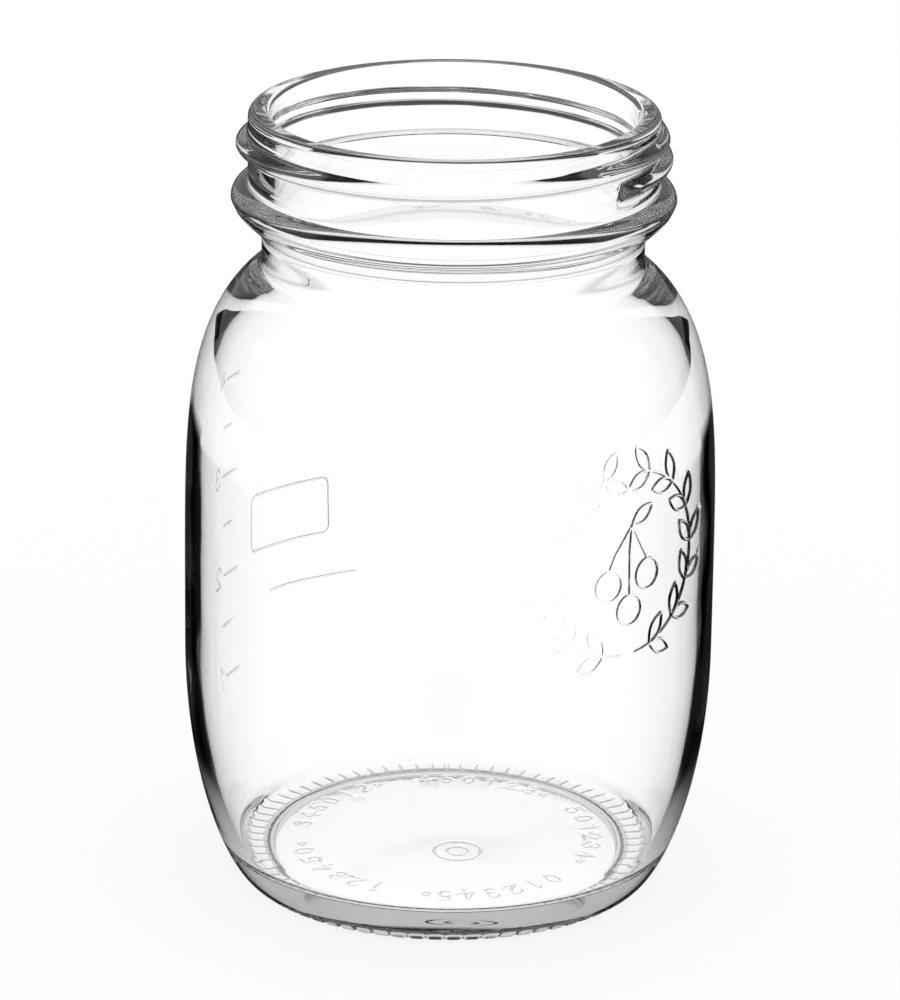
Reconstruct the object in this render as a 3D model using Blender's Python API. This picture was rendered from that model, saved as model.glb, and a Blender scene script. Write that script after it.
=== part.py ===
"""Preserving jar of clear glass with a wide mouth and a single-start screw thread.

The jar is one piece of pressed and blown glass. Units are metres and +Z is up. The origin is the centre of
the resting ring, on the surface that the jar stands on, and +Z runs up the jar's axis.
"""

from math import cos, pi, radians, sin

import bmesh
import bpy
from mathutils import Vector

# Body, from the surface that the jar stands on up to the neck
BODY_RADIUS = 0.0445
BELLY_HEIGHT = 0.0407
SHOULDER_RISE = 0.0659
BODY_WALL = 0.0027
HEEL_CURVE_POWER = 2.05
HEEL_CURVE_ROUND = 0.71
SHOULDER_CURVE_POWER = 5.27
SHOULDER_CURVE_ROUND = 0.79

# Base: a flat resting ring round a pushed-up underside, and the floor inside
RING_OUTER_RADIUS = 0.0343
RING_WIDTH = 0.0029
PUSH_UP = 0.0024
PUSH_UP_CURVE_POWER = 24
FLOOR_HEIGHT = 0.0062
FLOOR_CROWN = 0.0004
FLOOR_CORNER_REACH = 0.0030

# Neck: the narrowest place, between the shoulder and the bead
NECK_SETBACK = 0.0023
NECK_WALL = 0.0026
NECK_HEIGHT = 0.0057
NECK_FILLET_REACH = 0.0022

# Bead: a ring on the finish with a sloping underside and a rounded nose
BEAD_DEPTH = 0.0028
BEAD_KNEE_SETBACK = 0.0011
BEAD_UNDERSIDE_RISE = 0.0038
BEAD_KNEE_TO_PEAK = 0.0020
BEAD_PEAK_TO_TOP = 0.0023
BEAD_FILLET_REACH = 0.0012

# Finish: the cylinder that carries the thread, and the bore through it
FINISH_RADIUS = 0.0339
FINISH_WALL = 0.0037
FINISH_BELOW_THREAD = 0.0027
FINISH_ABOVE_THREAD = 0.0006

# Thread: one right-handed ridge that fades out at both ends
THREAD_DEPTH = 0.0020
THREAD_WIDTH = 0.0032
THREAD_PITCH = 0.0040
THREAD_START_DEGREES = -39.0
THREAD_TURN_DEGREES = 410.0
THREAD_FADE_IN_DEGREES = 7.0
THREAD_FADE_OUT_DEGREES = 30.0

# Lip: rounded edges either side of a flat land that a lid's seal presses on
LIP_OUTER_ROUND = 0.0013
LIP_INNER_ROUND = 0.0009

# How finely the surfaces are divided
AROUND = 64
BELLY_ROWS = 10
SHOULDER_ROWS = 8
FILLET_ROWS = 3
PUSH_UP_ROWS = 5
BEAD_KNEE_ROWS = 2
BEAD_NOSE_ROWS = 4
THREAD_ROWS = 14
LIP_ROUND_ROWS = 2

GLASS_COLOUR = (0.93, 0.95, 0.95, 1.0)
GLASS_ROUGHNESS = 0.04
GLASS_REFRACTION = 1.5

# Heights and radii that follow from the sizes above
NECK_RADIUS = FINISH_RADIUS - NECK_SETBACK
SHOULDER_TOP = BELLY_HEIGHT + SHOULDER_RISE
BEAD_FOOT = SHOULDER_TOP + NECK_HEIGHT
BEAD_KNEE = BEAD_FOOT + BEAD_UNDERSIDE_RISE
BEAD_PEAK = BEAD_KNEE + BEAD_KNEE_TO_PEAK
BEAD_TOP = BEAD_PEAK + BEAD_PEAK_TO_TOP
BEAD_RADIUS = FINISH_RADIUS + BEAD_DEPTH
THREAD_FLOOR = BEAD_TOP + FINISH_BELOW_THREAD
THREAD_RISE = THREAD_PITCH * THREAD_TURN_DEGREES / 360
THREAD_CEILING = THREAD_FLOOR + THREAD_RISE + THREAD_WIDTH
LIP_EDGE = THREAD_CEILING + FINISH_ABOVE_THREAD
JAR_HEIGHT = LIP_EDGE + LIP_OUTER_ROUND
BORE_RADIUS = FINISH_RADIUS - FINISH_WALL


def steps(count):
    """Shares from just above 0 up to 1, in even steps."""
    return [(i + 1) / count for i in range(count)]


def barrel_curve(end_radius, full_radius, share, power, rounding):
    """Radius at a share of the way from the widest place (0) to where the curve ends (1)."""
    return end_radius + (full_radius - end_radius) * (1 - share**power) ** rounding


def fillet(before, corner, after, reach):
    """Points that round a corner, from one reach before it to one reach after it."""
    corner = Vector(corner)
    into = Vector(before) - corner
    out = Vector(after) - corner
    start = corner + into * min(0.5, reach / into.length)
    end = corner + out * min(0.5, reach / out.length)
    return [tuple(start)] + [
        tuple(start * (1 - t) ** 2 + corner * 2 * t * (1 - t) + end * t**2) for t in steps(FILLET_ROWS)
    ]


def base_outline():
    """The underside, from the axis out to the outer edge of the resting ring. It is flat, then drops steeply."""
    ring_inner_radius = RING_OUTER_RADIUS - RING_WIDTH
    points = [(0, PUSH_UP)]
    for share in steps(PUSH_UP_ROWS):
        reach = 1 - (1 - share) ** 3
        points.append((ring_inner_radius * reach, PUSH_UP * (1 - reach**PUSH_UP_CURVE_POWER)))
    points.append((RING_OUTER_RADIUS, 0))
    return points


def belly_outline():
    """From the resting ring to the widest place. The rows lie closest in the heel, where it curves most."""
    points = []
    for share in steps(BELLY_ROWS):
        rise = share**2
        radius = barrel_curve(RING_OUTER_RADIUS, BODY_RADIUS, 1 - rise, HEEL_CURVE_POWER, HEEL_CURVE_ROUND)
        points.append((radius, BELLY_HEIGHT * rise))
    return points


def shoulder_outline(full_radius, end_radius, height):
    """From just above the widest place to the last row below the neck."""
    points = []
    for share in steps(SHOULDER_ROWS)[:-1]:
        rise = sin(share * pi / 2)
        radius = barrel_curve(end_radius, full_radius, rise, SHOULDER_CURVE_POWER, SHOULDER_CURVE_ROUND)
        points.append((radius, BELLY_HEIGHT + height * rise))
    return points


def bead_outline(below):
    """The neck wall, then the bead's sloping underside, its knee, its rounded nose and its top."""
    knee_radius = BEAD_RADIUS - BEAD_KNEE_SETBACK
    neck_foot = (NECK_RADIUS, SHOULDER_TOP)
    bead_foot = (NECK_RADIUS, BEAD_FOOT)
    knee = (knee_radius, BEAD_KNEE)
    points = fillet(below, neck_foot, bead_foot, NECK_FILLET_REACH)
    points += fillet(neck_foot, bead_foot, knee, BEAD_FILLET_REACH)
    points.append(knee)
    for share in steps(BEAD_KNEE_ROWS):
        radius = knee_radius + BEAD_KNEE_SETBACK * sin(share * pi / 2)
        points.append((radius, BEAD_KNEE + BEAD_KNEE_TO_PEAK * share))
    for share in steps(BEAD_NOSE_ROWS)[:-1]:
        turn = share * pi / 2
        points.append((FINISH_RADIUS + BEAD_DEPTH * cos(turn), BEAD_PEAK + BEAD_PEAK_TO_TOP * sin(turn)))
    points += fillet(points[-1], (FINISH_RADIUS, BEAD_TOP), (FINISH_RADIUS, THREAD_FLOOR), BEAD_FILLET_REACH)
    return points


def finish_outline():
    """The wall that carries the thread, up to the lip's outer edge."""
    height = THREAD_CEILING - THREAD_FLOOR
    points = [(FINISH_RADIUS, THREAD_FLOOR)]
    points += [(FINISH_RADIUS, THREAD_FLOOR + height * share) for share in steps(THREAD_ROWS)]
    points.append((FINISH_RADIUS, LIP_EDGE))
    return points


def lip_outline():
    """The outer round, the flat sealing land and the inner round."""
    points = []
    for share in steps(LIP_ROUND_ROWS):
        turn = share * pi / 2
        radius = FINISH_RADIUS - LIP_OUTER_ROUND * (1 - cos(turn))
        points.append((radius, LIP_EDGE + LIP_OUTER_ROUND * sin(turn)))
    points.append((BORE_RADIUS + LIP_INNER_ROUND, JAR_HEIGHT))
    for share in steps(LIP_ROUND_ROWS):
        turn = share * pi / 2
        radius = BORE_RADIUS + LIP_INNER_ROUND * (1 - sin(turn))
        points.append((radius, JAR_HEIGHT - LIP_INNER_ROUND * (1 - cos(turn))))
    return points


def set_in(outline, wall):
    """The points between an outline's two ends, each moved inwards by the wall, square to the surface."""
    points = []
    for before, here, after in zip(outline, outline[1:], outline[2:]):
        along = Vector(after) - Vector(before)
        inwards = Vector((-along.y, along.x)).normalized()
        points.append(tuple(Vector(here) + inwards * wall))
    return points


def floor_corner(wall):
    """Where the inside of the wall, given from its foot up, would meet the level of the floor."""
    for lower, upper in zip(wall, wall[1:]):
        if upper[1] > FLOOR_HEIGHT:
            break
    share = (FLOOR_HEIGHT - lower[1]) / (upper[1] - lower[1])
    return (lower[0] + (upper[0] - lower[0]) * share, FLOOR_HEIGHT)


def inner_outline():
    """The bore, the neck, the inside of the body and the floor, down to the axis."""
    neck_radius = NECK_RADIUS - NECK_WALL
    belly_radius = BODY_RADIUS - BODY_WALL
    shoulder_rise = SHOULDER_RISE - BODY_WALL
    neck_foot = (neck_radius, BELLY_HEIGHT + shoulder_rise)
    bead_foot = (neck_radius, BEAD_FOOT)
    shoulder = shoulder_outline(belly_radius, neck_radius, shoulder_rise)[::-1]
    wall = set_in([(RING_OUTER_RADIUS, 0)] + belly_outline(), BODY_WALL)
    corner = floor_corner(wall)
    wall_above_corner = [point for point in wall if point[1] > FLOOR_HEIGHT + FLOOR_CORNER_REACH][::-1]
    floor_centre = (0, FLOOR_HEIGHT + FLOOR_CROWN)
    points = [(BORE_RADIUS, BEAD_PEAK), bead_foot]
    points += fillet(bead_foot, neck_foot, shoulder[0], NECK_FILLET_REACH)
    points += shoulder
    points.append((belly_radius, BELLY_HEIGHT))
    points += wall_above_corner
    points += fillet(wall_above_corner[-1], corner, floor_centre, FLOOR_CORNER_REACH)
    points.append(floor_centre)
    return points


def ridge_height(height, middle):
    """How far the ridge stands out at a height, as a share of its depth: a rounded hump."""
    offset = abs(height - middle) / (THREAD_WIDTH / 2)
    return cos(offset * pi / 2) if offset < 1 else 0


def thread_rise(degrees, height):
    """How far the thread stands out of the finish at an angle and a height."""
    rise = 0
    turned = (degrees - THREAD_START_DEGREES) % 360
    while turned <= THREAD_TURN_DEGREES:
        middle = THREAD_FLOOR + THREAD_WIDTH / 2 + THREAD_PITCH * turned / 360
        fade_in = min(1, turned / THREAD_FADE_IN_DEGREES)
        fade_out = min(1, (THREAD_TURN_DEGREES - turned) / THREAD_FADE_OUT_DEGREES)
        rise = max(rise, THREAD_DEPTH * fade_in * fade_out * ridge_height(height, middle))
        turned += 360
    return rise


def ring_of(mesh, radius, height, is_thread_row):
    """One row of points round the axis, pushed out where the thread passes."""
    ring = []
    for i in range(AROUND):
        degrees = 360 * i / AROUND
        reach = radius + (thread_rise(degrees, height) if is_thread_row else 0)
        turn = radians(degrees)
        ring.append(mesh.verts.new((reach * cos(turn), reach * sin(turn), height)))
    return ring


def jar_mesh():
    """The closed surface of the glass: the outline turned about the axis, with the thread on its finish."""
    outer_start = base_outline() + belly_outline() + shoulder_outline(BODY_RADIUS, NECK_RADIUS, SHOULDER_RISE)
    outer_start += bead_outline(outer_start[-1])
    finish = finish_outline()
    outline = outer_start + finish + lip_outline() + inner_outline()
    thread_rows = range(len(outer_start), len(outer_start) + len(finish))
    mesh = bmesh.new()
    underside_centre = mesh.verts.new((0, 0, outline[0][1]))
    floor_centre = mesh.verts.new((0, 0, outline[-1][1]))
    rings = []
    for row in range(1, len(outline) - 1):
        radius, height = outline[row]
        rings.append(ring_of(mesh, radius, height, row in thread_rows))
    for lower, upper in zip(rings, rings[1:]):
        for i in range(AROUND):
            j = (i + 1) % AROUND
            mesh.faces.new((lower[i], lower[j], upper[j], upper[i]))
    for i in range(AROUND):
        j = (i + 1) % AROUND
        mesh.faces.new((underside_centre, rings[0][j], rings[0][i]))
        mesh.faces.new((floor_centre, rings[-1][i], rings[-1][j]))
    data = bpy.data.meshes.new("glass_jar")
    mesh.to_mesh(data)
    mesh.free()
    return data


def glass_material():
    """Clear, colourless bottle glass."""
    material = bpy.data.materials.new("clear_glass")
    material.use_nodes = True
    shader = material.node_tree.nodes["Principled BSDF"]
    shader.inputs["Base Color"].default_value = GLASS_COLOUR
    shader.inputs["Roughness"].default_value = GLASS_ROUGHNESS
    shader.inputs["Metallic"].default_value = 0.0
    shader.inputs["IOR"].default_value = GLASS_REFRACTION
    shader.inputs["Transmission Weight"].default_value = 1.0
    material.diffuse_color = GLASS_COLOUR
    return material


def main():
    for thing in list(bpy.data.objects):
        bpy.data.objects.remove(thing, do_unlink=True)
    jar = bpy.data.objects.new("glass_jar", jar_mesh())
    bpy.context.scene.collection.objects.link(jar)
    jar.data.materials.append(glass_material())
    jar.data.shade_smooth()
    jar.data.set_sharp_from_angle(angle=radians(40))


main()
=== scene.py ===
from math import cos, pi, radians, sin

import bpy
import numpy as np
from mathutils import Matrix, Vector
from mathutils.geometry import delaunay_2d_cdt
from mathutils.kdtree import KDTree


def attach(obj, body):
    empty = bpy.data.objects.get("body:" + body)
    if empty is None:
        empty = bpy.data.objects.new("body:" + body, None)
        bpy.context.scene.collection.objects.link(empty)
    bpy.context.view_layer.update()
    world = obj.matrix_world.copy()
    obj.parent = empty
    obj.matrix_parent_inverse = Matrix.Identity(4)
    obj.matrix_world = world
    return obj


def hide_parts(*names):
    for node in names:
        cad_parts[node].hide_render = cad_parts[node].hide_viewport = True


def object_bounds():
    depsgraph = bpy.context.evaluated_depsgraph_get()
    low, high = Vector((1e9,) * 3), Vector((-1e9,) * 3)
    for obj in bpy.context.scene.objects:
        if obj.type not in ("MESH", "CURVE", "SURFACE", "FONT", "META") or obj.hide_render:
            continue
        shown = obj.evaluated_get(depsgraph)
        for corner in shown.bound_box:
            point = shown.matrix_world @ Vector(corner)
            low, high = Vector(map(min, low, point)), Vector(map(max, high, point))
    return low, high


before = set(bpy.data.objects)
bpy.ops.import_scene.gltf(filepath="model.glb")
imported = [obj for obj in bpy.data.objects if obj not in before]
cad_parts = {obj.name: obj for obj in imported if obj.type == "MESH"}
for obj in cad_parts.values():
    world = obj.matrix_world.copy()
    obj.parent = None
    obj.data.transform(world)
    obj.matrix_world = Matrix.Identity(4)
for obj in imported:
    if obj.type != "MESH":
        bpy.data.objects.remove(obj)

cad_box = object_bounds()

# The wall of the jar
# One piece of pressed and blown soda-lime glass. A mould shapes the outside, a plunger and air the inside,
# so the wall is a turned outline: underside, ring, heel, belly, shoulder, neck, bead, finish, lip, inside.
# Lengths here and below are in metres.

RELIEF = 0.00035
SUNK = 0.00012
BODY_RADIUS = 0.0445
PLAIN_RADIUS = BODY_RADIUS - SUNK
BELLY_HEIGHT = 0.0407
SHOULDER_RISE = 0.0659
BODY_WALL = 0.0027
HEEL_CURVE = (2.05, 0.71)
SHOULDER_CURVE = (5.27, 0.79)
RING_OUTER_RADIUS = 0.0343
RING_INNER_RADIUS = 0.0314
PUSH_UP = 0.0024
PUSH_UP_POWER = 24
FLOOR_HEIGHT = 0.0062
FLOOR_CROWN = 0.0004
FLOOR_CORNER_REACH = 0.0030
FINISH_RADIUS = 0.0339
BORE_RADIUS = 0.0302
NECK_RADIUS = 0.0316
NECK_INNER_RADIUS = 0.0290
SHOULDER_TOP = BELLY_HEIGHT + SHOULDER_RISE
BEAD_FOOT = SHOULDER_TOP + 0.0057
BEAD_KNEE = BEAD_FOOT + 0.0038
BEAD_PEAK = BEAD_KNEE + 0.0020
BEAD_TOP = BEAD_PEAK + 0.0023
BEAD_RADIUS = 0.0367
BEAD_KNEE_RADIUS = 0.0356
THREAD_FLOOR = BEAD_TOP + 0.0027
LIP_OUTER_ROUND = 0.0013
LIP_EDGE = cad_box[1][2] - LIP_OUTER_ROUND
LIP_INNER_ROUND = 0.0009
NECK_FILLET = 0.0022
INNER_NECK_TOP = 0.1108
INNER_NECK_FOOT = 0.1074
INNER_SHOULDER_END = 0.68
BEAD_FILLET = 0.0012
KNEE_FILLET = 0.0008
ABOVE_KNEE = (0.0008, 0.0010)
HEEL_ROWS = 34
SHOULDER_ROWS = 30
SHOULDER_END = 0.88
FINISH_ROWS = 30
LIP_OUTER_ROWS = 6
LIP_INNER_ROWS = 5
INNER_HEEL_ROWS = 40
INNER_SHOULDER_ROWS = 24
RING_COLUMNS = 720
FINE_COLUMNS = 360
PLAIN_COLUMNS = 180


def shares(count, first=0.0, last=1.0):
    """Even steps from just above the first share up to the last."""
    return [first + (last - first) * (i + 1) / count for i in range(count)]


def barrel(end_radius, full_radius, share, curve):
    """Radius at a share of the way from the widest place to where the curve ends."""
    return end_radius + (full_radius - end_radius) * (1 - share ** curve[0]) ** curve[1]


def bend(start, corner, end, share):
    """The point at a share of the way along a curve that a corner draws towards itself."""
    return tuple(start * (1 - share) ** 2 + corner * 2 * share * (1 - share) + end * share**2)


def rounded(before, corner, after, reach, count):
    """A corner of the outline rounded over a reach to either side."""
    corner = Vector(corner)
    into = Vector(before) - corner
    out = Vector(after) - corner
    start = corner + into * min(0.5, reach / into.length)
    end = corner + out * min(0.5, reach / out.length)
    return [tuple(start)] + [bend(start, corner, end, share) for share in shares(count)]


def underside_points():
    """The pushed-up underside from the axis to the ring, then the ring that the jar stands on."""
    reaches = [0, 0.3, 0.6, 0.75, 0.84, 0.89, 0.915, 0.935, 0.95, 0.962, 0.972, 0.981, 0.989, 0.995]
    points = [(RING_INNER_RADIUS * reach, PUSH_UP * (1 - reach**PUSH_UP_POWER)) for reach in reaches]
    width = RING_OUTER_RADIUS - RING_INNER_RADIUS
    return points + [(RING_INNER_RADIUS + width * share, 0) for share in [0] + shares(6)]


def heel_points(full_radius, count):
    """From the ring up to the widest place, with the rows closest where the heel curves most."""
    points = []
    for share in shares(count):
        radius = barrel(RING_OUTER_RADIUS, full_radius, 1 - share**2, HEEL_CURVE)
        points.append((radius, BELLY_HEIGHT * share**2))
    return points


def shoulder_points(full_radius, end_radius, rise, count, last):
    """From above the widest place to the foot of the neck."""
    points = []
    for share in shares(count, 0, last):
        up = sin(share * pi / 2)
        points.append((barrel(end_radius, full_radius, up, SHOULDER_CURVE), BELLY_HEIGHT + rise * up))
    return points


def bead_points(below):
    """The neck, the bead's sloping underside, its knee, its rounded nose, and the foot of the finish."""
    neck_foot = (NECK_RADIUS, SHOULDER_TOP)
    bead_foot = (NECK_RADIUS, BEAD_FOOT)
    knee = (BEAD_KNEE_RADIUS, BEAD_KNEE)
    depth = BEAD_RADIUS - FINISH_RADIUS
    nose = [
        (FINISH_RADIUS + depth * cos(turn), BEAD_PEAK + (BEAD_TOP - BEAD_PEAK) * sin(turn))
        for turn in (share * pi / 2 for share in shares(11))
    ]
    above_knee = (BEAD_KNEE_RADIUS + ABOVE_KNEE[0], BEAD_KNEE + ABOVE_KNEE[1])
    bead_top = (FINISH_RADIUS, BEAD_TOP)
    points = rounded(below, neck_foot, bead_foot, NECK_FILLET, 7)
    points += rounded(neck_foot, bead_foot, knee, BEAD_FILLET, 5)
    points += rounded(bead_foot, knee, above_knee, KNEE_FILLET, 4)
    points.append((BEAD_RADIUS, BEAD_PEAK))
    points += nose[:-1]
    return points + rounded(nose[-2], bead_top, (FINISH_RADIUS, THREAD_FLOOR), BEAD_FILLET, 4)


def lip_points():
    """The outer round, the flat land that a lid seals on, and the inner round."""
    top = LIP_EDGE + LIP_OUTER_ROUND
    points = []
    for turn in (share * pi / 2 for share in shares(LIP_OUTER_ROWS)):
        radius = FINISH_RADIUS - LIP_OUTER_ROUND * (1 - cos(turn))
        points.append((radius, LIP_EDGE + LIP_OUTER_ROUND * sin(turn)))
    points.append((BORE_RADIUS + LIP_INNER_ROUND, top))
    for turn in (share * pi / 2 for share in shares(LIP_INNER_ROWS)):
        radius = BORE_RADIUS + LIP_INNER_ROUND * (1 - sin(turn))
        points.append((radius, top - LIP_INNER_ROUND * (1 - cos(turn))))
    return points


def inside_points():
    """The bore, the neck, the inside of the body a wall's thickness in, and the floor."""
    rise = SHOULDER_RISE - BODY_WALL
    belly_radius = BODY_RADIUS - BODY_WALL
    curve = shoulder_points(belly_radius, NECK_INNER_RADIUS, rise, INNER_SHOULDER_ROWS, INNER_SHOULDER_END)
    down = curve[::-1]
    points = []
    for share in [0] + shares(6):
        ease = share**2 * (3 - 2 * share)
        height = BEAD_PEAK + (INNER_NECK_TOP - BEAD_PEAK) * share
        points.append((BORE_RADIUS + (NECK_INNER_RADIUS - BORE_RADIUS) * ease, height))
    top = Vector(points.pop())
    corner = Vector((NECK_INNER_RADIUS, INNER_NECK_FOOT))
    for share in [0] + shares(12)[:-1]:
        points.append(bend(top, corner, Vector(down[0]), share))
    points += down + [(belly_radius, BELLY_HEIGHT)]
    outside = [(RING_OUTER_RADIUS, 0.0)] + heel_points(BODY_RADIUS, INNER_HEEL_ROWS)
    wall = []
    for before, here, after in zip(outside, outside[1:], outside[2:]):
        along = (Vector(after) - Vector(before)).normalized()
        wall.append((here[0] - along.y * BODY_WALL, here[1] + along.x * BODY_WALL))
    above = [point for point in wall if point[1] > FLOOR_HEIGHT + FLOOR_CORNER_REACH][::-1]
    foot = [point for point in wall if point[1] > FLOOR_HEIGHT][0]
    centre = (0.0, FLOOR_HEIGHT + FLOOR_CROWN)
    points += above
    points += rounded(above[-1], (foot[0], FLOOR_HEIGHT), centre, FLOOR_CORNER_REACH, 8)
    start = Vector(points[-1])
    return points + [tuple(start.lerp(Vector(centre), share)) for share in (0.03, 0.1, 0.25, 0.5, 0.75, 1.0)]


underside = underside_points()
heel = heel_points(PLAIN_RADIUS, HEEL_ROWS)
shoulder = shoulder_points(PLAIN_RADIUS, NECK_RADIUS, SHOULDER_RISE, SHOULDER_ROWS, SHOULDER_END)
bead = bead_points(shoulder[-1])
finish_rise = LIP_EDGE - THREAD_FLOOR
finish = [(FINISH_RADIUS, THREAD_FLOOR + finish_rise * share) for share in [0] + shares(FINISH_ROWS)]
lip = lip_points()
outline = np.array(underside + heel + shoulder + bead + finish + lip + inside_points(), float)
along = np.vstack([outline[1] - outline[0], outline[2:] - outline[:-2], outline[-1] - outline[-2]])
along /= np.linalg.norm(along, axis=1)[:, None]
outward = np.column_stack([along[:, 1], -along[:, 0]])
length = np.concatenate([[0], np.cumsum(np.linalg.norm(np.diff(outline, axis=0), axis=1))])

# The sheet that is wrapped round
# The glass is first laid out flat, as rows of points that run round the jar. Each point carries its turn
# round the axis, its place on the outline, the way out of the glass, and how far raised work stands out.

BAR_FOOT = 0.0309
BAR_FADE = 0.0013
BAND_FLOOR = 0.022
BAND_CEILING = 0.094
DISC_REACH = 0.89
HEEL_JOIN_HEIGHT = 0.0042
BAND_ROWS = 50
BAND_GAP = 0.0005
DISC_GAP = 0.0003
STROKE_WIDTH = 0.00058
STROKE_STEP = 0.00036
STROKE_FINE_STEP = 0.0001
STROKE_GAP = 0.00011
FIELDS = ("turn", "radius", "height", "lean", "rise", "raised", "bar", "thread")

sheet = {"points": [], "faces": []}
disc_edge = int(np.argmax(outline[:, 0] >= RING_INNER_RADIUS * DISC_REACH - 1e-6))
lip_foot = len(underside) + len(heel) + len(shoulder) + len(bead) + len(finish)
lip_top = lip_foot + LIP_OUTER_ROWS
lip_end = lip_foot + len(lip)
finish_foot = lip_foot - len(finish)


def lay_points(turn, place, raised=0.0):
    """Adds points at these turns and these lengths along the outline, and gives their numbers."""
    turn, place, raised = np.broadcast_arrays(turn, place, raised)
    radius = np.interp(place, length, outline[:, 0])
    height = np.interp(place, length, outline[:, 1])
    lean = np.interp(place, length, outward[:, 0])
    rise = np.interp(place, length, outward[:, 1])
    bar = np.clip((radius - BAR_FOOT) / (RING_INNER_RADIUS - BAR_FOOT), 0, 1)
    bar = bar * np.clip(1 - height / BAR_FADE, 0, 1)
    outside = place < length[lip_top]
    thread = (height > THREAD_FLOOR) & (height < LIP_EDGE + LIP_OUTER_ROUND / 2) & outside
    first = sum(len(part) for part in sheet["points"])
    sheet["points"].append(np.column_stack([turn, radius, height, lean, rise, raised, bar, thread]))
    return np.arange(first, first + turn.size)


def lay_rows(first, last, columns):
    """Lays the outline's rows from one number to another, each closed by a repeat of its first point."""
    turns = np.linspace(0, 2 * pi, columns + 1)
    rows = [lay_points(turns, length[row]) for row in range(first, last + 1)]
    for lower, upper in zip(rows, rows[1:]):
        sheet["faces"].append(np.column_stack([lower[:-1], lower[1:], upper[1:]]))
        sheet["faces"].append(np.column_stack([lower[:-1], upper[1:], upper[:-1]]))
    return rows


def join_columns(fine, coarse, fine_below):
    """Joins a fine row to one with half as many columns, with three triangles for each two columns."""
    left, middle, right = fine[:-1:2], fine[1::2], fine[2::2]
    near, far = coarse[:-1], coarse[1:]
    triangles = [(left, middle, near), (middle, far, near), (middle, right, far)]
    for a, b, c in triangles:
        sheet["faces"].append(np.column_stack([a, b, c] if fine_below else [a, c, b]))


def place_at(height):
    """The number of the outer row that comes next above a height."""
    first = len(underside) + 1
    return first + int(np.argmax(outline[first:, 1] >= height))


heel_join = place_at(HEEL_JOIN_HEIGHT)
band_foot = place_at(BAND_FLOOR)
band_top = place_at(BAND_CEILING)

ring_rows = lay_rows(disc_edge, heel_join, RING_COLUMNS)
heel_foot = lay_rows(heel_join + 1, heel_join + 2, FINE_COLUMNS)
heel_rows = lay_rows(heel_join + 3, band_foot, PLAIN_COLUMNS)
neck_rows = lay_rows(band_top, finish_foot, PLAIN_COLUMNS)
thread_rows = lay_rows(finish_foot + 1, lip_end, FINE_COLUMNS)
inside_rows = lay_rows(lip_end + 1, len(outline) - 1, PLAIN_COLUMNS)
join_columns(ring_rows[-1], heel_foot[0], True)
join_columns(heel_foot[-1], heel_rows[0], True)
join_columns(thread_rows[0], neck_rows[-1], False)
join_columns(thread_rows[-1], inside_rows[0], True)


def far_enough(points, kept, gap):
    """The points that keep a gap from those kept before and from each other, by squares of that size."""
    taken = {}
    for x, y in kept:
        taken.setdefault((int(x // gap), int(y // gap)), []).append((x, y))
    chosen = []
    for x, y in points:
        i, j = int(x // gap), int(y // gap)
        near = [p for a in (-1, 0, 1) for b in (-1, 0, 1) for p in taken.get((i + a, j + b), ())]
        if all((x - p[0]) ** 2 + (y - p[1]) ** 2 >= gap**2 for p in near):
            taken.setdefault((i, j), []).append((x, y))
            chosen.append((x, y))
    return chosen


def triangles_over(points):
    """Triangles that join the points of a flat patch, with the points as they come back."""
    found = delaunay_2d_cdt([Vector(point) for point in points], [], [], 0, 1e-7)
    return np.array([tuple(point) for point in found[0]]), np.array([list(face) for face in found[2]])


def along_stroke(stroke, step, aside=0.0):
    """Points at even steps along a stroke's middle line, or a little to one side of it."""
    stroke = np.array(stroke, float)
    run = np.concatenate([[0], np.cumsum(np.hypot(*np.diff(stroke, axis=0).T))])
    at = np.linspace(0, run[-1], max(2, int(run[-1] / step) + 1))
    middle = np.column_stack([np.interp(at, run, stroke[:, 0]), np.interp(at, run, stroke[:, 1])])
    ahead = np.gradient(middle, axis=0)
    ahead /= np.maximum(np.hypot(*ahead.T), 1e-9)[:, None]
    return middle + aside * np.column_stack([-ahead[:, 1], ahead[:, 0]])


def close_points(strokes):
    """Points along the middle, the flanks and the feet of every stroke, the middle first."""
    found = []
    for share in (0.0, 0.5, -0.5, 1.0, -1.0, 1.5, -1.5):
        for stroke in strokes:
            found += [tuple(point) for point in along_stroke(stroke, STROKE_STEP, share * STROKE_WIDTH / 2)]
    return found


def raised_at(flat, strokes):
    """How far each point stands out: one on a stroke's middle line, falling to nought at its feet."""
    middles = np.vstack([along_stroke(stroke, STROKE_FINE_STEP) for stroke in strokes])
    tree = KDTree(len(middles))
    for number, (x, y) in enumerate(middles):
        tree.insert((x, y, 0.0), number)
    tree.balance()
    away = np.array([tree.find((x, y, 0.0))[2] for x, y in flat])
    return np.cos(np.minimum(away / (STROKE_WIDTH / 2), 1) * pi / 2) ** 2


def patch_band(strokes):
    """The decorated band of the body: plain rows, with close points along each raised stroke."""
    places = length[band_foot:band_top + 1]
    round_length = 2 * pi * BODY_RADIUS
    turns = np.linspace(0, round_length, PLAIN_COLUMNS + 1)
    edge = [(x, places[0]) for x in turns] + [(x, places[-1]) for x in turns]
    inner = np.linspace(places[0], places[-1], BAND_ROWS)[1:-1]
    edge += [(x, y) for y in inner for x in (0, round_length)]
    plain = [(x, y) for y in inner for x in turns[1:-1]]
    raised = far_enough(close_points(strokes), edge, STROKE_GAP)
    points = edge + raised + far_enough(plain, edge + raised, BAND_GAP)
    flat, faces = triangles_over(points)
    numbers = lay_points(flat[:, 0] / BODY_RADIUS, flat[:, 1], raised_at(flat, strokes))
    sheet["faces"].append(numbers[faces])


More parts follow.
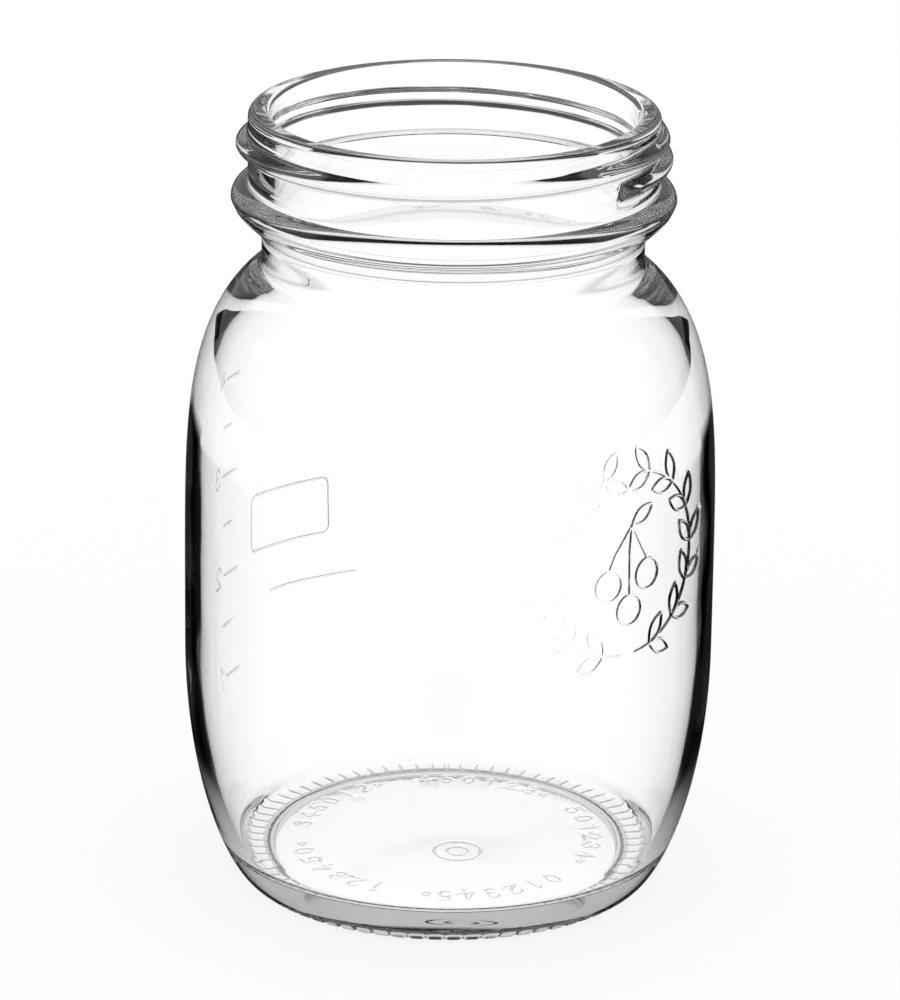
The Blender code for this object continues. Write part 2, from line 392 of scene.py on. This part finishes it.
def patch_disc(strokes):
    """The underside within the ring, with close points along each raised stroke."""
    edge_radius = outline[disc_edge, 0]
    turns = np.linspace(0, 2 * pi, RING_COLUMNS, endpoint=False)
    edge = [(edge_radius * cos(turn), edge_radius * sin(turn)) for turn in turns]
    plain = [(0.0, 0.0)]
    for share in (0.97, 0.93, 0.88, 0.8, 0.7, 0.6, 0.45, 0.3, 0.15):
        plain += [(share * x, share * y) for x, y in edge[::8 if share < 0.9 else 4]]
    raised = far_enough(close_points(strokes), edge, STROKE_GAP)
    points = edge + raised + far_enough(plain, edge + raised, DISC_GAP)
    flat, faces = triangles_over(points)
    radius = np.hypot(flat[:, 0], flat[:, 1])
    turn = np.arctan2(flat[:, 1], flat[:, 0])
    place = np.interp(radius, outline[:disc_edge + 1, 0], length[:disc_edge + 1])
    numbers = lay_points(turn, place, raised_at(flat, strokes))
    sheet["faces"].append(numbers[faces][:, ::-1])


def arc(middle, reach, first, last, count=24):
    """Part of an oval between two angles in degrees."""
    angles = np.radians(np.linspace(first, last, count))
    return np.column_stack([middle[0] + reach[0] * np.cos(angles), middle[1] + reach[1] * np.sin(angles)])


def leaf(foot, heading, leaf_length, leaf_width):
    """The outline of a pointed leaf from its foot along a heading."""
    share = np.linspace(0, 1, 9)
    ahead = np.array([cos(heading), sin(heading)])
    aside = np.array([-ahead[1], ahead[0]])
    rib = np.array(foot) + np.outer(share * leaf_length, ahead)
    flank = np.outer(leaf_width / 2 * np.sin(pi * share), aside)
    return np.vstack([rib + flank, (rib - flank)[::-1]])


def digit(number, corner, height, lean=0.0):
    """The strokes of a plain digit, in a box 0.6 as wide as it is high, turned by a lean."""
    five_bowl = arc((0.28, 0.33), (0.3, 0.33), 120, -150, 16)
    shapes = {
        0: [arc((0.3, 0.5), (0.3, 0.5), 0, 360)],
        1: [[(0.1, 0.8), (0.35, 1.0), (0.35, 0.0)]],
        2: [np.vstack([arc((0.3, 0.72), (0.3, 0.28), 165, -40, 14), [(0.0, 0.0), (0.6, 0.0)]])],
        3: [arc((0.3, 0.75), (0.27, 0.25), 150, -90, 14), arc((0.3, 0.26), (0.3, 0.26), 90, -150, 14)],
        4: [[(0.45, 0.0), (0.45, 1.0), (0.0, 0.3), (0.62, 0.3)]],
        5: [np.vstack([[(0.55, 1.0), (0.1, 1.0), (0.05, 0.55)], five_bowl])],
    }
    turned = np.array([[cos(lean), sin(lean)], [-sin(lean), cos(lean)]])
    return [np.array(corner) + (np.array(stroke) * height) @ turned for stroke in shapes[number]]


def body_place(turn_degrees, height):
    """Where a turn and a height lie on the flat sheet of the body."""
    rows = slice(band_foot, band_top + 1)
    return BODY_RADIUS * radians(turn_degrees), float(np.interp(height, outline[rows, 1], length[rows]))


# The body's raised work: a wreath with berries, a bare plaque, a scale in tenths of a litre, an arc, a line
WREATH_PLACE = (311, 0.0660)
WREATH_REACH = (0.0165, 0.0155)
LEAF_LENGTH = 0.0056
LEAF_WIDTH = 0.0024
LEAF_SPREAD = 0.7
TWIG_OFF = (0.0006, 0.0066)
TWIG_LEAF_HEADING = 0.5
STALK_BEND = 0.0022
BERRY_RADIUS = 0.0026
BERRIES_OFF = ((-0.0042, -0.0030), (0.0042, -0.0024), (0.0002, -0.0078))
PLAQUE_PLACE = (132, 0.0520)
PLAQUE_HALF = (0.0095, 0.0052)
PLAQUE_ROUND = 0.0012
LINE_ENDS = ((137, 0.0385), (113, 0.0385))
ARC_PLACE = (124, 0.083)
ARC_REACH = (0.0040, 0.0030)
SCALE_TURN = 158
SCALE_MARKS = 4
MARKED_VOLUME = 0.0001
TICK_LENGTH = 0.0050
HALF_TICK_LENGTH = 0.0028
SCALE_DIGIT_OFF = (0.0018, -0.0016)
SCALE_DIGIT_HEIGHT = 0.0036

body_strokes = []
wreath = np.array(body_place(*WREATH_PLACE))
for side in (-1, 1):
    reach = (side * WREATH_REACH[0], WREATH_REACH[1])
    body_strokes.append(arc(wreath, reach, -84, 76, 40))
    for angle in range(-72, 73, 24):
        foot = arc(wreath, reach, angle, angle, 1)[0]
        heading = np.arctan2(reach[1] * cos(radians(angle)), -reach[0] * sin(radians(angle)))
        for spread in (-LEAF_SPREAD, LEAF_SPREAD):
            body_strokes.append(leaf(foot, heading + spread, LEAF_LENGTH, LEAF_WIDTH))
twig = wreath + TWIG_OFF
body_strokes.append(leaf(twig, TWIG_LEAF_HEADING, LEAF_LENGTH, LEAF_WIDTH))
for x, y in BERRIES_OFF:
    body_strokes.append(arc(wreath + (x, y), (BERRY_RADIUS, BERRY_RADIUS), 0, 360, 20))
    body_strokes.append([twig, wreath + (0.7 * x, STALK_BEND), wreath + (x, y + BERRY_RADIUS)])

plaque = body_place(*PLAQUE_PLACE)
corners = []
for x, y, first in ((1, 1, 0), (-1, 1, 90), (-1, -1, 180), (1, -1, 270)):
    across = plaque[0] + x * (PLAQUE_HALF[0] - PLAQUE_ROUND)
    up = plaque[1] + y * (PLAQUE_HALF[1] - PLAQUE_ROUND)
    corners.append(arc((across, up), (PLAQUE_ROUND, PLAQUE_ROUND), first, first + 90, 5))
body_strokes.append(np.vstack(corners + [corners[0][:1]]))

inner = outline[lip_end:][::-1]
layers = pi * (inner[1:, 0] ** 2 + inner[:-1, 0] ** 2) / 2 * np.diff(inner[:, 1])
held = np.maximum.accumulate(np.concatenate([[0], np.cumsum(layers)]))


def scale_place(count):
    """Where the scale's mark stands for a count of tenths of a litre, by what the inside holds below it."""
    return body_place(SCALE_TURN, float(np.interp(count * MARKED_VOLUME, held, inner[:, 1])))


for number in range(1, SCALE_MARKS + 1):
    mark = scale_place(number)
    body_strokes.append([mark, (mark[0] - TICK_LENGTH, mark[1])])
    corner = (mark[0] + SCALE_DIGIT_OFF[0], mark[1] + SCALE_DIGIT_OFF[1])
    body_strokes += digit(number, corner, SCALE_DIGIT_HEIGHT)
    if number < SCALE_MARKS:
        half = scale_place(number + 0.5)
        body_strokes.append([half, (half[0] - HALF_TICK_LENGTH, half[1])])
body_strokes.append(arc(body_place(*ARC_PLACE), ARC_REACH, 95, 160))
body_strokes.append([body_place(*end) for end in LINE_ENDS])

# The underside's raised work: a ring of plain digits and dots, and two plain circles
RING_PLACES = 40
RING_GROUP = 8
RING_DIGITS = 6
RING_START = 200
DIGIT_RING_RADIUS = 0.0237
DISC_DIGIT_HEIGHT = 0.0030
DOT_RING_RADIUS = 0.0250
DOT_RADIUS = 0.0006
DISC_MARK_PLACE = (0.0020, -0.0070)
DISC_MARK_RADII = (0.0018, 0.0040)

disc_strokes = []
for number in range(RING_PLACES):
    around = radians(RING_START + 360 // RING_PLACES * number)
    if number % RING_GROUP == RING_GROUP - 1:
        middle = (DOT_RING_RADIUS * cos(around), DOT_RING_RADIUS * sin(around))
        disc_strokes.append(arc(middle, (DOT_RADIUS, DOT_RADIUS), 0, 360, 10))
    elif number % RING_GROUP < RING_DIGITS:
        foot = (DIGIT_RING_RADIUS * cos(around), DIGIT_RING_RADIUS * sin(around))
        shown = (number * 5 + number // RING_GROUP) % RING_DIGITS
        disc_strokes += digit(shown, foot, DISC_DIGIT_HEIGHT, around - pi / 2)
for mark_radius in DISC_MARK_RADII:
    disc_strokes.append(arc(DISC_MARK_PLACE, (mark_radius, mark_radius), 0, 360, 30))

patch_band(body_strokes)
patch_disc(disc_strokes)

# The glass, wrapped, threaded and closed
# The mould gives the finish one right-handed thread and the resting ring its short bars, and the seams of
# the flat sheet close. The glass itself is clear, with the faint waviness of a pressed surface.

THREAD_DEPTH = 0.0020
THREAD_WIDTH = 0.0032
THREAD_PITCH = 0.0040
THREAD_START = -39.0
THREAD_TURN = 410.0
THREAD_FADE_IN = 7.0
THREAD_FADE_OUT = 30.0
THREAD_HUMP_POWER = 0.8
BAR_COUNT = 72
BAR_DEPTH = 0.00024
BAR_STEEPNESS = 1.6
WELD_GAP = 2e-6
GLASS_COLOUR = (1.0, 1.0, 1.0, 1.0)
GLASS_TINT = (0.992, 0.996, 0.994, 1.0)
GLASS_REFRACTION = 1.5
WAVE_SCALE = 45.0
WAVE_HEIGHT = 0.00018

glass = bpy.data.materials.new("clear_pressed_glass")
glass.use_nodes = True
shader = glass.node_tree.nodes["Principled BSDF"]
shader.inputs["Base Color"].default_value = GLASS_COLOUR
shader.inputs["Roughness"].default_value = 0.0
shader.inputs["IOR"].default_value = GLASS_REFRACTION
shader.inputs["Metallic"].default_value = 0.0
shader.inputs["Transmission Weight"].default_value = 1.0
nodes, links = glass.node_tree.nodes, glass.node_tree.links
object_place = nodes.new("ShaderNodeTexCoord")
waves = nodes.new("ShaderNodeTexNoise")
waves.inputs["Scale"].default_value = WAVE_SCALE
waves.inputs["Detail"].default_value = 1.0
bump = nodes.new("ShaderNodeBump")
bump.inputs["Strength"].default_value = 1.0
bump.inputs["Distance"].default_value = WAVE_HEIGHT
links.new(object_place.outputs["Object"], waves.inputs["Vector"])
links.new(waves.outputs["Fac"], bump.inputs["Height"])
links.new(bump.outputs["Normal"], shader.inputs["Normal"])
tint = nodes.new("ShaderNodeMix")
tint.data_type = "RGBA"
links.new(waves.outputs["Fac"], tint.inputs["Factor"])
tint.inputs["A"].default_value = GLASS_TINT
tint.inputs["B"].default_value = GLASS_COLOUR
links.new(tint.outputs["Result"], shader.inputs["Base Color"])

wrap = bpy.data.node_groups.new("wrap_glass", "GeometryNodeTree")
wrap.interface.new_socket("Sheet", in_out="INPUT", socket_type="NodeSocketGeometry")
wrap_sizes = {
    "Raised Height": RELIEF,
    "Widest Radius": BODY_RADIUS,
    "Thread Foot": THREAD_FLOOR,
    "Thread Depth": THREAD_DEPTH,
    "Thread Width": THREAD_WIDTH,
    "Thread Pitch": THREAD_PITCH,
    "Thread Start": THREAD_START,
    "Thread Turn": THREAD_TURN,
    "Thread Fade In": THREAD_FADE_IN,
    "Thread Fade Out": THREAD_FADE_OUT,
    "Bar Count": BAR_COUNT,
    "Bar Depth": BAR_DEPTH,
}
identifiers = {}
for name in wrap_sizes:
    socket = wrap.interface.new_socket(name, in_out="INPUT", socket_type="NodeSocketFloat")
    identifiers[name] = socket.identifier
wrap.interface.new_socket("Glass", in_out="OUTPUT", socket_type="NodeSocketGeometry")
wrap_in = wrap.nodes.new("NodeGroupInput")
wrap_out = wrap.nodes.new("NodeGroupOutput")
size = wrap_in.outputs


def link_value(tree, value, socket):
    """Joins a socket to another, or writes a number on it."""
    if isinstance(value, (int, float)):
        socket.default_value = value
    else:
        tree.links.new(value, socket)


def figure(operation, *values, tree=wrap):
    """One step of arithmetic in a node tree."""
    node = tree.nodes.new("ShaderNodeMath")
    node.operation = operation
    for value, socket in zip(values, node.inputs):
        link_value(tree, value, socket)
    return node.outputs[0]


def carried(name):
    """What the sheet's points carry under a name."""
    node = wrap.nodes.new("GeometryNodeInputNamedAttribute")
    node.data_type = "FLOAT"
    node.inputs["Name"].default_value = name
    return node.outputs["Attribute"]


def clamped(value):
    """A value held between nought and one."""
    return figure("MINIMUM", figure("MAXIMUM", value, 0.0), 1.0)


turn, radius, height, lean, rise, raised, bar, thread = (carried(name) for name in FIELDS)
cosine = figure("COSINE", turn)
sine = figure("SINE", turn)
widest_side = figure("MAXIMUM", figure("ABSOLUTE", cosine), figure("ABSOLUTE", sine))
stand_out = figure("MULTIPLY", raised, size["Raised Height"])
full_radius = figure("ADD", radius, figure("MULTIPLY", lean, stand_out))
full_radius = figure("MINIMUM", full_radius, figure("DIVIDE", size["Widest Radius"], widest_side))
full_height = figure("ADD", height, figure("MULTIPLY", rise, stand_out))

degrees = figure("SUBTRACT", figure("MULTIPLY", turn, 180 / pi), size["Thread Start"])
first_turn = figure("FLOORED_MODULO", degrees, 360.0)
half_width = figure("MULTIPLY", size["Thread Width"], 0.5)
ridges = []
for whole_turns in (0.0, 360.0):
    turned = figure("ADD", first_turn, whole_turns)
    climb = figure("MULTIPLY", size["Thread Pitch"], figure("DIVIDE", turned, 360.0))
    middle = figure("ADD", figure("ADD", size["Thread Foot"], half_width), climb)
    off = figure("ABSOLUTE", figure("SUBTRACT", height, middle))
    off = clamped(figure("DIVIDE", off, half_width))
    hump = figure("POWER", figure("COSINE", figure("MULTIPLY", off, pi / 2)), THREAD_HUMP_POWER)
    fade_in = clamped(figure("DIVIDE", turned, size["Thread Fade In"]))
    left = figure("SUBTRACT", size["Thread Turn"], turned)
    fade_out = clamped(figure("DIVIDE", left, size["Thread Fade Out"]))
    fade = figure("SQRT", figure("MULTIPLY", fade_in, fade_out))
    ridges.append(figure("MULTIPLY", hump, fade))
ridge = figure("MULTIPLY", figure("MAXIMUM", *ridges), figure("MULTIPLY", thread, size["Thread Depth"]))
full_radius = figure("ADD", full_radius, ridge)

bar_wave = figure("COSINE", figure("MULTIPLY", turn, size["Bar Count"]))
gap_share = clamped(figure("MULTIPLY_ADD", bar_wave, BAR_STEEPNESS, 1 - BAR_STEEPNESS))
gap_depth = figure("MULTIPLY", figure("MULTIPLY", bar, size["Bar Depth"]), gap_share)
full_height = figure("ADD", full_height, gap_depth)

place = wrap.nodes.new("ShaderNodeCombineXYZ")
wrap.links.new(figure("MULTIPLY", full_radius, cosine), place.inputs["X"])
wrap.links.new(figure("MULTIPLY", full_radius, sine), place.inputs["Y"])
wrap.links.new(full_height, place.inputs["Z"])
move = wrap.nodes.new("GeometryNodeSetPosition")
close = wrap.nodes.new("GeometryNodeMergeByDistance")
close.inputs["Distance"].default_value = WELD_GAP
realize = wrap.nodes.new("GeometryNodeRealizeInstances")
smooth = wrap.nodes.new("GeometryNodeSetShadeSmooth")
coat = wrap.nodes.new("GeometryNodeSetMaterial")
coat.inputs["Material"].default_value = glass
wrap.links.new(wrap_in.outputs["Sheet"], move.inputs["Geometry"])
wrap.links.new(place.outputs[0], move.inputs["Position"])
wrap.links.new(move.outputs[0], close.inputs["Geometry"])
wrap.links.new(close.outputs[0], smooth.inputs["Geometry"])
wrap.links.new(smooth.outputs[0], realize.inputs["Geometry"])
wrap.links.new(realize.outputs[0], coat.inputs["Geometry"])
wrap.links.new(coat.outputs[0], wrap_out.inputs["Glass"])

points = np.vstack(sheet["points"])
faces = np.vstack(sheet["faces"])
flat_sheet = bpy.data.meshes.new("flat_sheet")
laid_out = np.column_stack([points[:, 0], points[:, 2], points[:, 1]])
flat_sheet.from_pydata(laid_out.tolist(), [], faces.tolist())
for column, name in enumerate(FIELDS):
    values = flat_sheet.attributes.new(name, "FLOAT", "POINT")
    values.data.foreach_set("value", points[:, column].astype(np.float32))
jar = bpy.data.objects.new("jar_glass", flat_sheet)
bpy.context.scene.collection.objects.link(jar)
modifier = jar.modifiers.new("wrap", "NODES")
modifier.node_group = wrap
for name, value in wrap_sizes.items():
    modifier[identifiers[name]] = float(value)
bpy.context.view_layer.update()
made = bpy.data.meshes.new_from_object(jar.evaluated_get(bpy.context.evaluated_depsgraph_get()))
jar.modifiers.clear()
jar.data = made
for name in FIELDS:
    if name in made.attributes:
        made.attributes.remove(made.attributes[name])
made.name = "jar_glass"
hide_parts("glass_jar")
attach(jar, "root")

# Floor, light and camera
# A white studio: a pale floor and a white surround, which the glass shows by transmission. Both also paint
# light and shade that only rays through or in the glass meet: painted darkness in place of black cards, with
# white gaps, for light mirrored in the glass, a painted dark band, a painted shadow by the foot, painted
# darkness overhead and painted extra brightness behind the glass. Both tell rays apart by the surfaces and
# mirrorings behind them. The camera is fitted to the photograph.

FLOOR_RADIUS = 6.0
FLOOR_DROP = 0.0001
FLOOR_WHITE = 0.84
FLOOR_PAINT = (0.2, 0.2, 0.2, 1.0)
FLOOR_MIRROR_SHADES = (0.97, 0.90)
NEAR_EDGE = (0.036, 0.070)
NEAR_WHITE = 0.8
BEHIND_SPREAD = 0.27
BEHIND_EDGE = (0.030, 0.044)
BEHIND_FADE = (0.0, 0.04)
FAR_EDGE = (0.34, 0.44)
FAR_FADE = (0.05, 0.2)
BESIDE_SPREAD = 0.72
BESIDE_EDGE = (0.045, 0.060)
BESIDE_FADE = (0.0, 0.03)
BESIDE_WHITE = 0.9
FOOT_SHADOW_INNER_EDGE = (0.0312, 0.0320)
FOOT_SHADOW_OUTER_EDGE = (0.0350, 0.0365)
MIRROR_INNER_EDGE = (0.055, 0.075)
MIRROR_OUTER_EDGE = (0.33, 0.37)
PAINTED_DARKENING = 0.97
SKY_WHITE = 1.0
SKY_CAMERA_EXTRA = 0.25
SKY_MIRROR_SHADES = (0.30, 0.50)
OVERHEAD_EDGE = (0.45, 0.75)
OVERHEAD_WHITE = 0.1
SKY_BEHIND_EDGE = (-0.02, 0.06)
SKY_BEHIND_TOP = (0.04, 0.08)
BELT_FOOT = (0.33, 0.35)
BELT_TOP = (0.45, 0.60)
BELT_WHITE = 0.70
OUTER_WHITE = 0.6
PASSED_EDGE = (0.20, 0.38)
PASSED_WHITE = 1.05
ONE_WALL_WHITE = 0.5
UNFILLED_FOOT = (0.02, 0.06)
UNFILLED_TOP = (0.32, 0.38)
UNFILLED_SIDE = (0.10, 0.25)
DEEP_FILL = 0.9
OFTEN_SHADE = 0.97
WALL_GAIN = 1.18
SURFACE_GAIN = 0.04
UP = (0.0, 1.0)
DOWN = (1.0, 0.0)
CAMERA_LENS = 202.76
CAMERA_SENSOR = 36
CAMERA_PLACE = (0, -0.89204, 0.37075)
CAMERA_LOOK_DOWN = 18.909
CAMERA_ROLL = 0.01306
MOST_BOUNCES = 140
MOST_SURFACES = 40
MOST_MIRRORINGS = 100


def light(operation, *values):
    """One step of arithmetic in the node tree that is being made."""
    return figure(operation, *values, tree=tree)


def smooth_step(value, edge, ends):
    """A value that eases from the first of two ends to the second as another crosses a soft edge."""
    node = tree.nodes.new("ShaderNodeMapRange")
    node.interpolation_type = "SMOOTHSTEP"
    for name, number in zip(("From Min", "From Max", "To Min", "To Max"), edge + ends):
        node.inputs[name].default_value = number
    tree.links.new(value, node.inputs["Value"])
    return node.outputs[0]


def masked(mask, value, edge, ends):
    """A mask times a soft edge."""
    return light("MULTIPLY", mask, smooth_step(value, edge, ends))


def split(socket):
    """The three parts of a direction or a place."""
    node = tree.nodes.new("ShaderNodeSeparateXYZ")
    tree.links.new(socket, node.inputs[0])
    return node.outputs["X"], node.outputs["Y"], node.outputs["Z"]


def wedge(x, y, spread):
    """How far a place lies beyond a wedge that opens away from the photograph's view."""
    return light("MULTIPLY_ADD", y, -spread, light("ABSOLUTE", x))


def light_paths(outer_shade, twice_shade):
    """Masks made of the surfaces that a ray has gone through and of its mirrorings, with the painted
    darkening of light mirrored in the glass and the painted extra brightness of rays through it.
    """
    path = tree.nodes.new("ShaderNodeLightPath").outputs
    mirrors, surfaces = path["Glossy Depth"], path["Transmission Depth"]
    outer = light("LESS_THAN", surfaces, 0.5)
    deep = light("GREATER_THAN", surfaces, 3.5)
    once = light("LESS_THAN", mirrors, 1.5)
    often = light("GREATER_THAN", mirrors, 3.5)
    # Painted shade: light mirrored twice or more, or off the outside of the glass, is darkened, unless it
    # went through four surfaces or more.
    shade_by_mirrors = light("MULTIPLY", light("SUBTRACT", 1.0, once), twice_shade)
    shade_by_mirrors = light("MULTIPLY_ADD", often, OFTEN_SHADE - twice_shade, shade_by_mirrors)
    shade_by_mirrors = light("MAXIMUM", shade_by_mirrors, light("MULTIPLY", outer, outer_shade))
    painted_shade = light("MULTIPLY", shade_by_mirrors, light("SUBTRACT", 1.0, deep))
    return {
        "path": path,
        "mirrors": mirrors,
        "outer": outer,
        "one wall": light("COMPARE", surfaces, 2.0, 0.5),
        "mirrored": light("GREATER_THAN", mirrors, 0.5),
        "through": light("GREATER_THAN", surfaces, 0.5),
        "filled": light("MULTIPLY", deep, light("MAXIMUM", once, often)),
        "kept": light("SUBTRACT", 1.0, painted_shade),
        # Painted extra brightness for rays through the glass, more for each surface they pass.
        "gain": light("MULTIPLY_ADD", surfaces, SURFACE_GAIN, WALL_GAIN),
    }


def glow_of(paths, plain, passed, seen):
    """The brightness that a ray meets, seen plainly, through the glass with painted extra brightness, or
    mirrored in it with painted darkening and, deep in the glass, a painted fill.
    """
    # Painted light: mirrored rays deep in the glass are lifted towards white, the other mirrored rays get
    # the painted shade, and rays through the glass get the painted extra brightness.
    fill = light("MULTIPLY", paths["filled"], DEEP_FILL)
    seen = light("ADD", seen, light("MULTIPLY", fill, light("SUBTRACT", 1.0, seen)))
    seen = light("MULTIPLY", seen, paths["kept"])
    passed = light("MULTIPLY", passed, paths["gain"])
    return chosen(paths["mirrored"], chosen(paths["through"], plain, passed), seen)


def chosen(mask, first, second):
    """The first value where a mask is nought, the second where it is one."""
    node = tree.nodes.new("ShaderNodeMix")
    for value, name in zip((mask, first, second), ("Factor", "A", "B")):
        link_value(tree, value, node.inputs[name])
    return node.outputs["Result"]


floor_material = bpy.data.materials.new("white_floor")
floor_material.use_nodes = True
tree = floor_material.node_tree
tree.nodes.clear()
paths = light_paths(*FLOOR_MIRROR_SHADES)
spot = tree.nodes.new("ShaderNodeTexCoord").outputs["Object"]
x, y = split(spot)[:2]
from_axis = tree.nodes.new("ShaderNodeVectorMath")
from_axis.operation = "LENGTH"
tree.links.new(spot, from_axis.inputs[0])
distance = from_axis.outputs["Value"]

# Painted darkness for light mirrored in the glass: the floor is dark to it, except white near the jar, in a
# wedge behind it, far behind it and off to the sides behind it.
near = smooth_step(distance, NEAR_EDGE, (NEAR_WHITE, 0.0))
behind = masked(smooth_step(wedge(x, y, BEHIND_SPREAD), BEHIND_EDGE, DOWN), y, BEHIND_FADE, UP)
far = masked(smooth_step(distance, FAR_EDGE, UP), y, FAR_FADE, UP)
beside = smooth_step(wedge(x, y, BESIDE_SPREAD), BESIDE_EDGE, (0.0, BESIDE_WHITE))
beside = masked(beside, y, BESIDE_FADE, UP)
seen = light("MAXIMUM", light("MAXIMUM", near, behind), light("MAXIMUM", far, beside))

# A painted dark ring on the floor, from about 6 to 35 cm out, seen only by light mirrored once inside one
# wall.
band = light("MULTIPLY", paths["one wall"], light("COMPARE", paths["mirrors"], 1.0, 0.5))
band = masked(band, distance, MIRROR_INNER_EDGE, UP)
band = masked(band, distance, MIRROR_OUTER_EDGE, DOWN)
seen = light("MULTIPLY", seen, light("MULTIPLY_ADD", band, -PAINTED_DARKENING, 1.0))

# A painted contact shadow: the floor at the ring's edge, about 32 to 36 mm from the axis, is dark to rays
# through one wall.
foot = masked(paths["one wall"], distance, FOOT_SHADOW_OUTER_EDGE, DOWN)
foot = masked(foot, distance, FOOT_SHADOW_INNER_EDGE, UP)
passed = light("MULTIPLY", light("MULTIPLY_ADD", foot, -PAINTED_DARKENING, 1.0), FLOOR_WHITE)

glow = glow_of(paths, FLOOR_WHITE, passed, seen)
glow = light("MULTIPLY", glow, light("SUBTRACT", 1.0, paths["path"]["Is Diffuse Ray"]))
shine = tree.nodes.new("ShaderNodeEmission")
paint = tree.nodes.new("ShaderNodeBsdfDiffuse")
both = tree.nodes.new("ShaderNodeAddShader")
choice = tree.nodes.new("ShaderNodeMixShader")
result = tree.nodes.new("ShaderNodeOutputMaterial")
paint.inputs["Color"].default_value = FLOOR_PAINT
tree.links.new(glow, shine.inputs["Strength"])
tree.links.new(shine.outputs[0], both.inputs[0])
tree.links.new(paint.outputs[0], both.inputs[1])
tree.links.new(paths["mirrored"], choice.inputs[0])
tree.links.new(both.outputs[0], choice.inputs[1])
tree.links.new(shine.outputs[0], choice.inputs[2])
tree.links.new(choice.outputs[0], result.inputs["Surface"])

rim = []
for angle in range(0, 360, 4):
    rim.append((FLOOR_RADIUS * cos(radians(angle)), FLOOR_RADIUS * sin(radians(angle)), -FLOOR_DROP))
floor_mesh = bpy.data.meshes.new("studio_floor")
floor_mesh.from_pydata(rim, [], [list(range(len(rim)))])
floor_mesh.materials.append(floor_material)
floor = bpy.data.objects.new("studio_floor", floor_mesh)
bpy.context.scene.collection.objects.link(floor)

world = bpy.data.worlds.new("white_surround")
bpy.context.scene.world = world
world.use_nodes = True
tree = world.node_tree
tree.nodes.clear()
paths = light_paths(*SKY_MIRROR_SHADES)
x, y, z = split(tree.nodes.new("ShaderNodeTexCoord").outputs["Generated"])

# Painted darkness for light mirrored in the glass: the surround is dark to it but for white low behind the
# jar, a pale belt part way up and a faint glow overhead, and it is pale to light mirrored off the outside.
overhead = smooth_step(z, OVERHEAD_EDGE, (0.0, OVERHEAD_WHITE))
behind = masked(smooth_step(wedge(x, y, BEHIND_SPREAD), SKY_BEHIND_EDGE, DOWN), z, SKY_BEHIND_TOP, DOWN)
belt = masked(smooth_step(z, BELT_FOOT, (0.0, BELT_WHITE)), z, BELT_TOP, DOWN)
seen = light("MAXIMUM", light("MAXIMUM", overhead, behind), belt)
seen = light("MAXIMUM", seen, light("MULTIPLY", paths["outer"], OUTER_WHITE))

# Rays through the glass meet the surround a little brighter than white low down and painted dark high up,
# and at least half white after one wall.
passed = smooth_step(z, PASSED_EDGE, (PASSED_WHITE, 0.0))
passed = light("MAXIMUM", passed, light("MULTIPLY", paths["one wall"], ONE_WALL_WHITE))

# The painted fill of deep mirrored rays is left out for a low patch of the surround straight ahead and
# behind.
unfilled = masked(smooth_step(z, UNFILLED_FOOT, UP), z, UNFILLED_TOP, DOWN)
unfilled = masked(unfilled, light("ABSOLUTE", x), UNFILLED_SIDE, DOWN)
paths["filled"] = light("MULTIPLY", paths["filled"], light("SUBTRACT", 1.0, unfilled))

plain = light("MULTIPLY_ADD", paths["path"]["Is Camera Ray"], SKY_CAMERA_EXTRA, SKY_WHITE)
background = tree.nodes.new("ShaderNodeBackground")
result = tree.nodes.new("ShaderNodeOutputWorld")
tree.links.new(glow_of(paths, plain, passed, seen), background.inputs["Strength"])
tree.links.new(background.outputs[0], result.inputs["Surface"])

camera = bpy.data.objects.new("camera", bpy.data.cameras.new("camera"))
bpy.context.scene.collection.objects.link(camera)
camera.data.lens = CAMERA_LENS
camera.data.sensor_width = CAMERA_SENSOR
camera.data.sensor_fit = "AUTO"
camera.matrix_world = (
    Matrix.Translation(CAMERA_PLACE)
    @ Matrix.Rotation(pi / 2 - radians(CAMERA_LOOK_DOWN), 4, "X")
    @ Matrix.Rotation(CAMERA_ROLL, 4, "Z")
)
bpy.context.scene.camera = camera
bpy.context.scene.view_settings.view_transform = "Standard"
bpy.context.scene.cycles.max_bounces = MOST_BOUNCES
bpy.context.scene.cycles.transmission_bounces = MOST_SURFACES
bpy.context.scene.cycles.glossy_bounces = MOST_MIRRORINGS
